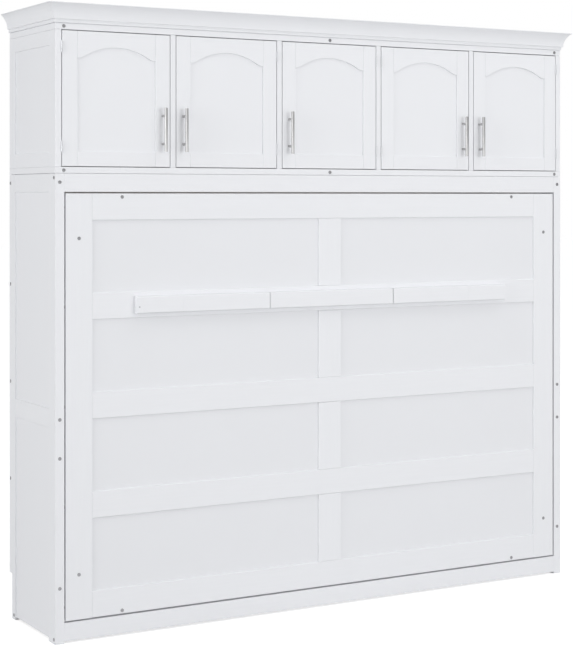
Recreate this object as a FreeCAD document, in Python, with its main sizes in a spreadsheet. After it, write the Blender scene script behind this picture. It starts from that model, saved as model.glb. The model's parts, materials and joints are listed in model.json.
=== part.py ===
import FreeCAD, Part
import math
import os
import re

import Sketcher

# A side-tilting bed in a white cabinet, with a five-door hutch and a cove cornice on top.
# +X is to the right along the front, +Y to the back, +Z up; the origin is the middle of the
# footprint, on the floor. Lengths are in millimetres.

SIZES = {
    # Hutch: inset doors between partitions, on a full-width deck board.
    "door_opening_width": 400,
    "door_opening_height": 456,
    "partition_thickness": 20,
    "hutch_end_thickness": 22,
    "hutch_stile_depth": 55,
    "hutch_rail_height": 50,
    "board_thickness": 22,
    "back_panel_thickness": 6,
    "carcass_depth": 430,
    # Doors: frame and panel with an arched top rail.
    "door_gap": 2.4,
    "door_thickness": 20,
    "door_stile_width": 54,
    "door_bottom_rail_height": 50,
    "door_shoulder_depth": 91,
    "arch_rise": 40,
    "arch_flare_radius": 50,
    "door_panel_thickness": 6,
    "door_panel_recess": 5,
    "frame_seam": 0.1,
    # Pulls: a round bar on two posts.
    "pull_length": 150,
    "pull_centres": 96,
    "pull_bar_radius": 6,
    "pull_post_radius": 4.5,
    "pull_projection": 33,
    "pull_height": 129,
    "pull_edge_inset": 27,
    # Butt hinges in the door gaps, with the barrel just in front of the gap.
    "hinge_height": 40,
    "hinge_barrel_radius": 2.6,
    "hinge_pin_radius": 1.1,
    "hinge_pin_clearance": 0.2,
    "hinge_leaf_thickness": 0.9,
    "hinge_leaf_width": 15,
    "hinge_top_inset": 57,
    "hinge_bottom_inset": 68,
    "hinge_running_gap": 0.3,
    # Crown: flat band, quirk, cove and lip, seated on the hutch top.
    "crown_height": 65,
    "crown_projection": 34,
    "crown_seat": 18,
    "crown_band_height": 15,
    "crown_band_proud": 6,
    "crown_quirk": 2.5,
    "crown_lip_height": 8,
    "crown_lip_step": 3,
    # Lower carcass: posts, rails and recessed panels.
    "lower_height": 1560,
    "post_width": 32,
    "post_depth": 57,
    "rail_thickness": 22,
    "front_top_rail_height": 61,
    "plinth_rail_height": 61,
    "plinth_lift": 8,
    "side_top_rail_height": 62,
    "side_mid_rail_height": 64,
    "side_mid_rail_centre": 744,
    "side_panel_thickness": 6,
    "side_panel_recess": 4,
    "side_panel_lift": 10,
    "skirting_notch_depth": 25,
    "skirting_notch_height": 158,
    "back_rail_height": 60,
    "back_rail_pitch": 342,
    "back_rail_lowest_centre": 491,
    "wall_rail_height": 90,
    "wall_hole_drop": 30,
    "wall_hole_radius": 3.25,
    "wall_hole_spacing": 1600,
    # Connector bolts: round bright heads.
    "bolt_head_radius": 6,
    "bolt_head_height": 1.6,
    "post_bolt_top_inset": 29,
    "pivot_bolt_spread": 215,
    "deck_bolt_end_inset": 30,
    "side_bolt_top_inset": 14,
    "side_bolt_foot_height": 16,
    "bed_bolt_end_inset": 204,
    "bed_bolt_edge_inset": 12,
    "bed_stile_bolt_inset": 150,
    # Bed front: a framed panel that fills the opening.
    "bed_gap": 5,
    "bed_front_thickness": 25,
    "bed_stile_width": 95,
    "bed_rail_height": 90,
    "bed_mullion_width": 94,
    "bed_panel_thickness": 6,
    "bed_panel_recess": 6,
    # Mattress box behind the bed front.
    "bed_board_thickness": 18,
    "bed_board_depth": 100,
    "bed_board_edge_inset": 3,
    "strut_bay": 44,
    "ledger_size": 20,
    "slat_width": 70,
    "slat_thickness": 15,
    "slat_end_gap": 2,
    "slat_edge_margin": 60,
    # Pivot of the bed, low in the front posts.
    "pivot_depth": 38,
    "pivot_height": 400,
    "pivot_pin_radius": 6,
    "pivot_running_clearance": 0.08,
    "bush_wall": 4,
    "bush_length": 16,
    "bush_seat_clearance": 0.05,
    "pivot_plate_thickness": 4,
    "pivot_plate_width": 60,
    "plate_spacing": 20,
    "pivot_plate_edge_inset": 1,
    # Gas struts between the side rails and the bed's end boards.
    "strut_top_depth": 215,
    "strut_stud_depth": 88,
    "strut_stud_drop": 110,
    "strut_tube_radius": 9,
    "strut_tube_wall": 1.2,
    "strut_gland_length": 14,
    "strut_rod_radius": 4,
    "strut_rod_clearance": 0.08,
    "strut_piston_length": 12,
    "strut_piston_clearance": 0.3,
    "strut_eye_radius": 9,
    "strut_eye_thickness": 10,
    "strut_eye_overlap": 3,
    "strut_stud_radius": 4,
    "strut_stud_clearance": 0.1,
    "strut_end_gap": 10,
    "strut_rod_overlap": 25,
    "strut_plate_thickness": 4,
    "strut_plate_width": 40,
    "strut_plate_height": 60,
    "strut_open_pivot_gap": 0.3,
    # Bar across the bed front: fixed blocks and two legs hinged at the middle block.
    "bar_height": 58,
    "bar_proud": 22,
    "bar_half_length": 775,
    "bar_block_half_length": 257.5,
    "bar_gap": 5,
    "leg_running_gap": 0.3,
    "leg_floor_gap": 1,
    "leg_hinge_height": 54,
    # One overrun serves every cutting tool.
    "cut_overrun": 2,
}

DOOR_COUNT = 5
# Side of each door, from the left, that carries its hinges: -1 left, 1 right.
HINGE_SIDES = (-1, 1, 1, -1, 1)
BED_RAIL_COUNT = 5
SLAT_COUNT = 12
MIDDLE_BACK_RAIL_COUNT = 3
SMALL_ROUND_SIDES = 8

# Places and sizes that follow from the driving sizes.
PLACES = {
    "hutch_inner_width": f"{DOOR_COUNT} * door_opening_width + {DOOR_COUNT - 1} * partition_thickness",
    "carcass_half": "hutch_inner_width / 2 + hutch_end_thickness",
    "hutch_inner_half": "hutch_inner_width / 2",
    "front": "-(carcass_depth - crown_projection) / 2",
    "back": "front + carcass_depth",
    "opening_half": "carcass_half - post_width",
    "plinth_top": "plinth_lift + plinth_rail_height",
    "front_top_rail_low": "lower_height - front_top_rail_height",
    "hutch_floor": "lower_height + board_thickness",
    "hutch_ceiling": "hutch_floor + door_opening_height",
    "crown_base": "hutch_ceiling + board_thickness",
    "side_mid_rail_low": "side_mid_rail_centre - side_mid_rail_height / 2",
    "side_mid_rail_high": "side_mid_rail_centre + side_mid_rail_height / 2",
    "side_top_rail_low": "lower_height - side_top_rail_height",
    # Doors
    "door_pitch": "door_opening_width + partition_thickness",
    "door_low": "hutch_floor + door_gap",
    "door_high": "hutch_ceiling - door_gap",
    "door_half": "door_opening_width / 2 - door_gap",
    "door_inner_half": "door_half - door_stile_width",
    "door_rail_half": "door_inner_half - frame_seam",
    "arch_angle": "2 * atan(arch_rise / door_rail_half)",
    "arch_radius": "door_rail_half / sin(arch_angle) - arch_flare_radius",
    "arch_flare_run": "arch_flare_radius * sin(arch_angle)",
    "arch_flare_climb": "arch_flare_radius * (1 - cos(arch_angle))",
    "pull_bar_offset": "pull_projection - pull_bar_radius",
    "pull_centre": "hutch_floor + pull_height",
    "hinge_axis_y": "front - hinge_barrel_radius - hinge_running_gap",
    "hinge_knuckle": "(hinge_height - 2 * hinge_running_gap) / 3",
    "hinge_bore_radius": "hinge_pin_radius + hinge_pin_clearance",
    # Crown
    "cove_rise": "crown_height - crown_band_height - crown_lip_height",
    "cove_run": "crown_projection - crown_lip_step - crown_band_proud - crown_quirk",
    "cove_radius": "(cove_run ^ 2 + cove_rise ^ 2) / (2 * cove_run)",
    # Bed
    "bed_half": "opening_half - bed_gap",
    "bed_low": "plinth_top + bed_gap",
    "bed_high": "front_top_rail_low - bed_gap",
    "bed_inner_half": "bed_half - bed_stile_width",
    "bed_rail_pitch": f"(bed_high - bed_low - bed_rail_height) / {BED_RAIL_COUNT - 1}",
    "bed_back": "front + bed_front_thickness",
    "bed_board_back": "bed_back + bed_board_depth",
    "bed_board_low": "bed_low + bed_board_edge_inset",
    "bed_board_high": "bed_high - bed_board_edge_inset",
    "bed_box_low": "bed_board_low + bed_board_thickness",
    "bed_box_high": "bed_board_high - bed_board_thickness",
    "end_board_face": "opening_half - strut_bay",
    "end_board_inner": "end_board_face - bed_board_thickness",
    "slat_face": "bed_back + ledger_size",
    "slat_pitch": f"2 * (end_board_inner - slat_edge_margin - slat_width / 2) / {SLAT_COUNT - 1}",
    "slat_first": "-end_board_inner + slat_edge_margin",
    # Pivot
    "pivot_y": "front + pivot_depth",
    "bush_radius": "pivot_pin_radius + pivot_running_clearance + bush_wall",
    "bush_seat_radius": "bush_radius + bush_seat_clearance",
    "pivot_plate_face": "end_board_face + pivot_plate_thickness",
    "pivot_plate_half_height": "strut_stud_drop - strut_plate_height / 2 - plate_spacing",
    # Struts, in the plane midway along the bay that is left beside the end boards
    "strut_plane": "end_board_face + strut_bay - strut_tube_radius - bed_gap",
    "strut_top_y": "front + strut_top_depth",
    "strut_stud_y": "front + strut_stud_depth",
    "strut_stud_height": "pivot_height - strut_stud_drop",
    "strut_lean_run": "strut_top_depth - strut_stud_depth",
    "strut_drop": "side_mid_rail_centre - strut_stud_height",
    "strut_length": "sqrt(strut_lean_run ^ 2 + strut_drop ^ 2)",
    "strut_lean": "atan(strut_lean_run / strut_drop)",
    "strut_lowered_y": "pivot_y + strut_stud_drop",
    "strut_lowered_z": "pivot_height + strut_stud_depth - pivot_depth",
    "strut_lowered_run": "strut_top_y - strut_lowered_y",
    "strut_lowered_drop": "side_mid_rail_centre - strut_lowered_z",
    "strut_lowered_length": "sqrt(strut_lowered_run ^ 2 + strut_lowered_drop ^ 2)",
    "strut_tube_end": "strut_lowered_length - strut_eye_radius - strut_end_gap",
    "strut_bore_radius": "strut_tube_radius - strut_tube_wall",
    "strut_neck": "strut_eye_radius - strut_eye_overlap",
    "strut_rod_end": "strut_tube_end - strut_gland_length - strut_rod_overlap",
    "strut_eye_inner": "strut_plane - strut_eye_thickness / 2",
    "strut_plate_face": "carcass_half - rail_thickness - strut_plate_thickness",
    # Legs
    "leg_barrel_radius": "bar_gap / 2 - leg_running_gap",
    "leg_knuckle": "(leg_hinge_height - 2 * hinge_running_gap) / 3",
    "leg_pin_x": "bar_block_half_length + bar_gap / 2",
    "leg_pin_y": "front - bar_proud + leg_barrel_radius",
    "leg_leaf_front": "leg_pin_y + leg_barrel_radius + hinge_running_gap",
    "leg_reach": "pivot_height - leg_floor_gap - pivot_depth - bar_proud + leg_barrel_radius",
    "leg_tip": "leg_pin_x + leg_reach",
    "leg_tip_gap": "(bar_proud - leg_barrel_radius) ^ 2 / (2 * leg_reach) + leg_running_gap",
    "bar_centre": f"bed_low + bed_rail_height / 2 + {BED_RAIL_COUNT - 2} * bed_rail_pitch",
    "bar_low": "bar_centre - bar_height / 2",
    "bar_high": "bar_centre + bar_height / 2",
}

# The two kinds of butt hinge: axis and front edge of the leaves along Y, half of the gap they
# stand in, barrel radius, height and length of a knuckle.
DOOR_HINGE = {
    "axis": "hinge_axis_y",
    "leaf_front": "front",
    "half_gap": "door_gap / 2",
    "barrel": "hinge_barrel_radius",
    "height": "hinge_height",
    "knuckle": "hinge_knuckle",
}
LEG_HINGE = {
    "axis": "leg_pin_y",
    "leaf_front": "leg_leaf_front",
    "half_gap": "bar_gap / 2",
    "barrel": "leg_barrel_radius",
    "height": "leg_hinge_height",
    "knuckle": "leg_knuckle",
}

doc = FreeCAD.newDocument("cabinet_bed")
sizes = doc.addObject("Spreadsheet::Sheet", "Sizes")
places = doc.addObject("Spreadsheet::Sheet", "Places")
nodes = []


def full(text, own=""):
    """Write an expression's words as references to the cells of the two sheets."""

    def reference(match):
        word = match.group(0)
        if word in SIZES:
            return "Sizes." + word
        if word in PLACES:
            return own + word if own else "Places." + word
        return word

    return re.sub(r"[a-z][a-z0-9_]*", reference, text)


def fill_sheets():
    for row, (alias, size) in enumerate(SIZES.items(), start=1):
        sizes.set(f"A{row}", alias)
        sizes.set(f"B{row}", str(size))
        sizes.setAlias(f"B{row}", alias)
    doc.recompute()
    for row, (alias, text) in enumerate(PLACES.items(), start=1):
        places.set(f"A{row}", alias)
        places.set(f"B{row}", "=" + full(text, own="."))
        places.setAlias(f"B{row}", alias)
    doc.recompute()


def value(text):
    """The number that an expression gives for the present sizes."""
    number = places.evalExpression(full(text))
    return float(getattr(number, "Value", number))


def bind(thing, **texts):
    """Tie an object's properties to expressions; x, y and z stand for its place."""
    for name, text in texts.items():
        path = f"Placement.Base.{name}" if name in ("x", "y", "z") else name
        thing.setExpression(path, full(text))
    return thing


def board(name, x, y, z):
    """A rectangular board between pairs of expressions along X, Y and Z."""
    box = doc.addObject("Part::Box", name)
    bind(box, x=x[0], y=y[0], z=z[0])
    bind(box, Length=f"({x[1]}) - ({x[0]})", Width=f"({y[1]}) - ({y[0]})", Height=f"({z[1]}) - ({z[0]})")
    return box


TURNS = {
    "x": FreeCAD.Rotation(FreeCAD.Vector(0, 1, 0), 90),
    "y": FreeCAD.Rotation(FreeCAD.Vector(1, 0, 0), -90),
    "z": FreeCAD.Rotation(),
}


def rod(name, along, span, radius, **centre):
    """A round bar along one axis, from the first to the second expression of span."""
    bar = doc.addObject("Part::Cylinder", name)
    bar.Placement = FreeCAD.Placement(FreeCAD.Vector(), TURNS[along])
    bind(bar, Radius=radius, Height=f"({span[1]}) - ({span[0]})")
    bind(bar, **{along: span[0]}, **centre)
    return bar


def small_rod(name, along, span, radius, **centre):
    """A thin bar that repeats often, with few flat sides in place of a round one."""
    bar = doc.addObject("Part::Prism", name)
    bar.Polygon = SMALL_ROUND_SIDES
    bar.Placement = FreeCAD.Placement(FreeCAD.Vector(), TURNS[along])
    bind(bar, Circumradius=radius, Height=f"({span[1]}) - ({span[0]})")
    bind(bar, **{along: span[0]}, **centre)
    return bar


def fused(name, *pieces):
    joined = doc.addObject("Part::MultiFuse", name)
    joined.Shapes = pieces
    joined.Refine = True
    return joined


def cut(name, base, tool):
    remainder = doc.addObject("Part::Cut", name)
    remainder.Base = base
    remainder.Tool = tool
    return remainder


def mirrored(source, name=None):
    """The same piece on the other side of the middle plane."""
    twin = doc.addObject("Part::Mirroring", name or source.Name + "_right")
    twin.Source = source
    twin.Normal = FreeCAD.Vector(1, 0, 0)
    return twin


def both_sides(*pieces):
    return pieces + tuple(mirrored(piece) for piece in pieces)


def node(label, *pieces):
    """A sub-part: one solid, or a group of separate solids of the same kind."""
    part = pieces[0]
    if len(pieces) > 1:
        part = doc.addObject("Part::Compound", label)
        part.Links = pieces
    part.Label = label
    nodes.append(part)
    return part


def new_sketch(body, role, name):
    sketch = body.newObject("Sketcher::SketchObject", name)
    plane = next(item for item in body.Origin.OriginFeatures if item.Role == role)
    sketch.AttachmentSupport = [(plane, "")]
    sketch.MapMode = "FlatFace"
    return sketch


def arc_between(start, end, radius, side):
    """An arc whose centre lies to the left (1) or right (-1) of the way from start to end."""
    chord = end - start
    across = FreeCAD.Vector(-chord.y, chord.x, 0).normalize()
    depth = math.sqrt(radius ** 2 - (chord.Length / 2) ** 2)
    circle = Part.Circle((start + end) * 0.5 + across * depth * side, FreeCAD.Vector(0, 0, 1), radius)
    first, last = (start, end) if side > 0 else (end, start)
    return Part.ArcOfCircle(circle, circle.parameter(first), circle.parameter(last))


def outline(sketch, corners, arcs=None):
    """Draw a closed outline; every corner and every arc's radius is bound to its expression.

    arcs maps a corner's number to (radius, side) for the edge that leaves that corner.
    """
    arcs = arcs or {}
    points = [FreeCAD.Vector(value(x), value(y), 0) for x, y in corners]
    edges = []
    for number, start in enumerate(points):
        end = points[(number + 1) % len(points)]
        if number in arcs:
            radius, side = arcs[number]
            edge = sketch.addGeometry(arc_between(start, end, value(radius), side))
            limit = sketch.addConstraint(Sketcher.Constraint("Radius", edge, value(radius)))
            sketch.setExpression(f"Constraints[{limit}]", full(radius))
            edges.append((edge, 1, 2) if side > 0 else (edge, 2, 1))
        else:
            edges.append((sketch.addGeometry(Part.LineSegment(start, end)), 1, 2))
    for number, (edge, near, far) in enumerate(edges):
        following = edges[(number + 1) % len(edges)]
        sketch.addConstraint(Sketcher.Constraint("Coincident", edge, far, following[0], following[1]))
        for kind, text in zip(("DistanceX", "DistanceY"), corners[number]):
            lock = sketch.addConstraint(Sketcher.Constraint(kind, -1, 1, edge, near, value(text)))
            sketch.setExpression(f"Constraints[{lock}]", full(text))


def pad(body, sketch, length, reversed_way=False, midplane=False):
    feature = body.newObject("PartDesign::Pad", body.Name + "_pad")
    feature.Profile = sketch
    feature.Reversed = reversed_way
    feature.Midplane = midplane
    bind(feature, Length=length)
    return feature


def pocket_through(body, sketch):
    """Cut a sketch through the whole body, both ways, and make sure that it took wood away."""
    doc.recompute()
    before = body.Shape.Volume
    feature = body.newObject("PartDesign::Pocket", body.Name + "_cut")
    feature.Profile = sketch
    feature.Type = "ThroughAll"
    feature.Midplane = True
    doc.recompute()
    if body.Shape.Volume >= before:
        raise RuntimeError(body.Name + " was not cut")


def make_posts():
    """Front posts with a blind seat for the pivot bush, rear posts notched for a skirting board."""
    stick = board("front_post_stick", ("-carcass_half", "-opening_half"),
                  ("front", "front + post_depth"), ("0", "lower_height"))
    seat = rod("pivot_seat", "x", ("-opening_half - bush_length", "-opening_half + cut_overrun"),
               "bush_seat_radius", y="pivot_y", z="pivot_height")
    node("front_posts", *both_sides(cut("front_post", stick, seat)))

    rear = doc.addObject("PartDesign::Body", "rear_post")
    profile = new_sketch(rear, "YZ_Plane", "rear_post_profile")
    outline(profile, [
        ("0", "0"),
        ("post_depth - skirting_notch_depth", "0"),
        ("post_depth - skirting_notch_depth", "skirting_notch_height"),
        ("post_depth", "skirting_notch_height"),
        ("post_depth", "lower_height"),
        ("0", "lower_height"),
    ])
    pad(rear, profile, "post_width")
    bind(rear, x="-carcass_half", y="back - post_depth")
    node("rear_posts", *both_sides(rear))


def make_carcass():
    """Rails and panels that join the posts."""
    side = ("-carcass_half", "-carcass_half + rail_thickness")
    between_posts = ("front + post_depth", "back - post_depth")
    node("side_rails", *both_sides(
        board("side_top_rail", side, between_posts, ("side_top_rail_low", "lower_height")),
        board("side_mid_rail", side, between_posts, ("side_mid_rail_low", "side_mid_rail_high")),
    ))
    skin = ("-carcass_half + side_panel_recess", "-carcass_half + side_panel_recess + side_panel_thickness")
    node("side_panels", *both_sides(
        board("side_upper_panel", skin, between_posts, ("side_mid_rail_high", "side_top_rail_low")),
        board("side_lower_panel", skin, between_posts, ("side_panel_lift", "side_mid_rail_low")),
    ))
    across = ("-opening_half", "opening_half")
    front_layer = ("front", "front + rail_thickness")
    node("front_rails",
         board("front_top_rail", across, front_layer, ("front_top_rail_low", "lower_height")),
         board("plinth_rail", across, front_layer, ("plinth_lift", "plinth_top")))


def make_back_rails():
    """Rails across the back; the top one is drilled for fixing the cabinet to a wall."""
    across = ("-opening_half", "opening_half")
    layer = ("back - rail_thickness", "back")
    top = board("top_back_rail", across, layer, ("lower_height - wall_rail_height", "lower_height"))
    holes = [
        rod(f"wall_hole_{name}", "y", ("back - rail_thickness - cut_overrun", "back + cut_overrun"),
            "wall_hole_radius", x=f"{sign} * wall_hole_spacing / 2", z="lower_height - wall_hole_drop")
        for name, sign in (("left", -1), ("right", 1))
    ]
    drilled = cut("drilled_back_rail", cut("half_drilled_back_rail", top, holes[0]), holes[1])
    rails = [drilled]
    for number in range(MIDDLE_BACK_RAIL_COUNT):
        centre = f"back_rail_lowest_centre + {number} * back_rail_pitch"
        span = (f"{centre} - back_rail_height / 2", f"{centre} + back_rail_height / 2")
        rails.append(board(f"middle_back_rail_{number + 1}", across, layer, span))
    low = ("skirting_notch_height", "skirting_notch_height + back_rail_height")
    rails.append(board("low_back_rail", across, layer, low))
    foot_layer = ("back - post_depth", "back - post_depth + rail_thickness")
    rails.append(board("foot_back_rail", across, foot_layer, ("plinth_lift", "plinth_top")))
    node("back_rails", *rails)


def make_hutch():
    """Deck, top, framed ends, partitions and back of the cupboard row."""
    width = ("-carcass_half", "carcass_half")
    depth = ("front", "back")
    height = ("hutch_floor", "hutch_ceiling")
    node("hutch_deck", board("hutch_deck", width, depth, ("lower_height", "hutch_floor")))
    node("hutch_top_board", board("hutch_top_board", width, depth, ("hutch_ceiling", "crown_base")))
    end = ("-carcass_half", "-hutch_inner_half")
    between = ("front + hutch_stile_depth + frame_seam", "back - hutch_stile_depth - frame_seam")
    node("hutch_side_frames", *both_sides(
        board("hutch_front_stile", end, ("front", "front + hutch_stile_depth"), height),
        board("hutch_rear_stile", end, ("back - hutch_stile_depth", "back"), height),
        board("hutch_low_rail", end, between, ("hutch_floor", "hutch_floor + hutch_rail_height")),
        board("hutch_high_rail", end, between, ("hutch_ceiling - hutch_rail_height", "hutch_ceiling")),
    ))
    skin = ("-carcass_half + side_panel_recess", "-carcass_half + side_panel_recess + side_panel_thickness")
    field = ("hutch_floor + hutch_rail_height", "hutch_ceiling - hutch_rail_height")
    node("hutch_side_panels", *both_sides(board("hutch_side_panel", skin, between, field)))
    inner_back = "back - back_panel_thickness"
    partitions = []
    for number in range(1, DOOR_COUNT):
        low = f"-hutch_inner_half + {number} * door_pitch - partition_thickness"
        partitions.append(board(f"partition_{number}", (low, f"{low} + partition_thickness"),
                                ("front", inner_back), height))
    node("hutch_partitions", *partitions)
    node("hutch_back_panel", board("hutch_back_panel", ("-hutch_inner_half", "hutch_inner_half"),
                                   (inner_back, "back"), height))


def crown_profile(sketch, outward):
    """The moulding's section: outward gives the sign of its projection along the sketch's x."""
    section = [
        ("-crown_seat", "0"),
        ("crown_band_proud", "0"),
        ("crown_band_proud", "crown_band_height"),
        ("crown_band_proud + crown_quirk", "crown_band_height"),
        ("crown_projection - crown_lip_step", "crown_height - crown_lip_height"),
        ("crown_projection", "crown_height - crown_lip_height"),
        ("crown_projection", "crown_height"),
        ("-crown_seat", "crown_height"),
    ]
    corners = [(f"{outward} * ({out})", up) for out, up in section]
    outline(sketch, corners, {3: ("cove_radius", outward * -1)})


def make_crown():
    """Three lengths of cornice, mitred where the front meets the sides."""
    front = doc.addObject("PartDesign::Body", "crown_front")
    section = new_sketch(front, "YZ_Plane", "crown_front_section")
    crown_profile(section, -1)
    pad(front, section, "2 * (carcass_half + crown_projection)", midplane=True)
    mitres = new_sketch(front, "XY_Plane", "crown_front_mitres")
    for sign in (-1, 1):
        tip = f"{sign} * (carcass_half + crown_projection)"
        beyond = f"{sign} * (carcass_half + crown_projection + cut_overrun)"
        heel = f"{sign} * (carcass_half - crown_seat)"
        outline(mitres, [(tip, "-crown_projection"), (heel, "crown_seat"), (beyond, "crown_seat"),
                         (beyond, "-crown_projection")])
    pocket_through(front, mitres)
    bind(front, y="front", z="crown_base")
    node("crown_front", front)

    left = doc.addObject("PartDesign::Body", "crown_left")
    section = new_sketch(left, "XZ_Plane", "crown_left_section")
    crown_profile(section, -1)
    pad(left, section, "carcass_depth + crown_projection", reversed_way=True)
    mitre = new_sketch(left, "XY_Plane", "crown_left_mitre")
    outline(mitre, [
        ("-crown_projection", "0"),
        ("-crown_projection", "-cut_overrun"),
        ("crown_seat", "-cut_overrun"),
        ("crown_seat", "crown_projection + crown_seat"),
    ])
    pocket_through(left, mitre)
    bind(left, x="-carcass_half", y="front - crown_projection", z="crown_base")
    node("crown_sides", *both_sides(left))


def make_hinge(name, kind, gap, side, low):
    """One butt hinge in a gap: the fixed leaf with two knuckles, the moving leaf and the pin.

    gap is the middle of the gap along X; side is 1 where the fixed leaf is to its right.
    """
    axis_y, leaf_front, length = kind["axis"], kind["leaf_front"], kind["knuckle"]
    knuckle = f"({low} + {length} + hinge_running_gap)"
    above = f"({low} + 2 * ({length} + hinge_running_gap))"
    high = f"({low} + {kind['height']})"
    spans = {
        "fixed": [(low, f"{low} + {length}"), (above, high)],
        "moving": [(knuckle, f"{knuckle} + {length}")],
    }
    leaf = (leaf_front, f"{leaf_front} + hinge_leaf_width")
    near, far = f"{kind['half_gap']} - hinge_leaf_thickness", kind["half_gap"]
    halves = {}
    for half, sign in (("fixed", side), ("moving", -side)):
        x = (f"{gap} + {near}", f"{gap} + {far}") if sign > 0 else (f"{gap} - {far}", f"{gap} - ({near})")
        pieces = [board(f"{name}_{half}_leaf", x, leaf, (low, high))]
        for number, span in enumerate(spans[half], start=1):
            pieces.append(board(f"{name}_{half}_tab_{number}", x, (axis_y, leaf_front), span))
            pieces.append(small_rod(f"{name}_{half}_knuckle_{number}", "z", span, kind["barrel"],
                                    x=gap, y=axis_y))
        solid = fused(f"{name}_{half}_solid", *pieces)
        bore = small_rod(f"{name}_{half}_bore", "z", (f"{low} - cut_overrun", f"{high} + cut_overrun"),
                         "hinge_bore_radius", x=gap, y=axis_y)
        halves[half] = cut(f"{name}_{half}", solid, bore)
    pin = small_rod(f"{name}_pin", "z", (low, high), "hinge_pin_radius", x=gap, y=axis_y)
    return halves["fixed"], halves["moving"], pin


def make_door(number, hinge_side):
    """One framed door with its arched rail, panel, pull and hinges; returns its fixed hinge pieces."""
    name = f"door_{number}"
    middle = f"(-hutch_inner_half + {number - 1} * door_pitch + door_opening_width / 2)"
    layer = ("front", "front + door_thickness")
    height = ("door_low", "door_high")
    field = (f"{middle} - door_rail_half", f"{middle} + door_rail_half")
    left = board(f"{name}_left_stile", (f"{middle} - door_half", f"{middle} - door_inner_half"),
                 layer, height)
    right = board(f"{name}_right_stile", (f"{middle} + door_inner_half", f"{middle} + door_half"),
                  layer, height)
    low = board(f"{name}_bottom_rail", field, layer, ("door_low", "door_low + door_bottom_rail_height"))

    arch = doc.addObject("PartDesign::Body", f"{name}_top_rail")
    profile = new_sketch(arch, "XZ_Plane", f"{name}_arch")
    shoulder = "-door_shoulder_depth"
    turn_x = "(door_rail_half - arch_flare_run)"
    turn_z = "arch_flare_climb - door_shoulder_depth"
    outline(profile, [
        ("-door_rail_half", "0"),
        ("-door_rail_half", shoulder),
        (f"-{turn_x}", turn_z),
        (turn_x, turn_z),
        ("door_rail_half", shoulder),
        ("door_rail_half", "0"),
    ], {1: ("arch_flare_radius", 1), 2: ("arch_radius", -1), 3: ("arch_flare_radius", 1)})
    pad(arch, profile, "door_thickness", reversed_way=True)
    bind(arch, x=middle, y="front", z="door_high")
    node(f"{name}_frame", left, right, low, arch)

    skin = ("front + door_panel_recess", "front + door_panel_recess + door_panel_thickness")
    blank = board(f"{name}_panel_blank", field, skin, ("door_low + door_bottom_rail_height", "door_high"))
    node(f"{name}_panel", cut(f"{name}_panel", blank, arch))

    pull_x = f"{middle} - {hinge_side} * (door_half - pull_edge_inset)"
    bar_y = "front - pull_bar_offset"
    ends = ("pull_centre - pull_length / 2", "pull_centre + pull_length / 2")
    bar = rod(f"{name}_pull_bar", "z", ends, "pull_bar_radius", x=pull_x, y=bar_y)
    posts = []
    for place, sign in (("low", -1), ("high", 1)):
        stem = small_rod(f"{name}_pull_{place}_stem", "y", (bar_y, "front"), "pull_post_radius",
                         x=pull_x, z=f"pull_centre + {sign} * pull_centres / 2")
        posts.append(cut(f"{name}_pull_{place}_post", stem, bar))
    node(f"{name}_pull", bar, *posts)

    gap = f"({middle} + {hinge_side} * (door_half + door_gap / 2))"
    lows = ("hutch_floor + hinge_bottom_inset - hinge_height / 2",
            "hutch_ceiling - hinge_top_inset - hinge_height / 2")
    hinges = [make_hinge(f"{name}_{place}_hinge", DOOR_HINGE, gap, hinge_side, f"({low_end})")
              for place, low_end in zip(("low", "high"), lows)]
    node(f"{name}_hinges", *[moving for fixed, moving, pin in hinges])
    return hinges


def make_doors():
    hinges = []
    for number, hinge_side in enumerate(HINGE_SIDES, start=1):
        hinges += make_door(number, hinge_side)
    node("hinge_leaves", *[fixed for fixed, moving, pin in hinges])
    node("hinge_pins", *[pin for fixed, moving, pin in hinges])


def make_bed_front():
    """The framed front of the bed: stiles, evenly spaced rails, mullions and recessed panels."""
    layer = ("front", "bed_back")
    height = ("bed_low", "bed_high")
    node("bed_stiles", *both_sides(board("bed_stile", ("-bed_half", "-bed_inner_half"), layer, height)))
    across = ("-bed_inner_half", "bed_inner_half")
    rails = []
    mullions = []
    panels = []
    skin = ("front + bed_panel_recess", "front + bed_panel_recess + bed_panel_thickness")
    for number in range(BED_RAIL_COUNT):
        low = f"bed_low + {number} * bed_rail_pitch"
        high = f"{low} + bed_rail_height"
        rails.append(board(f"bed_rail_{number + 1}", across, layer, (low, high)))
        if number == BED_RAIL_COUNT - 1:
            break
        field = (high, f"{low} + bed_rail_pitch")
        half_mullion = "bed_mullion_width / 2"
        mullions.append(board(f"bed_mullion_{number + 1}", (f"-{half_mullion}", half_mullion), layer, field))
        panel = board(f"bed_panel_{number + 1}", ("-bed_inner_half", f"-{half_mullion}"), skin, field)
        panels += both_sides(panel)
    node("bed_rails", *rails)
    node("bed_mullions", *mullions)
    node("bed_panels", *panels)


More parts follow.
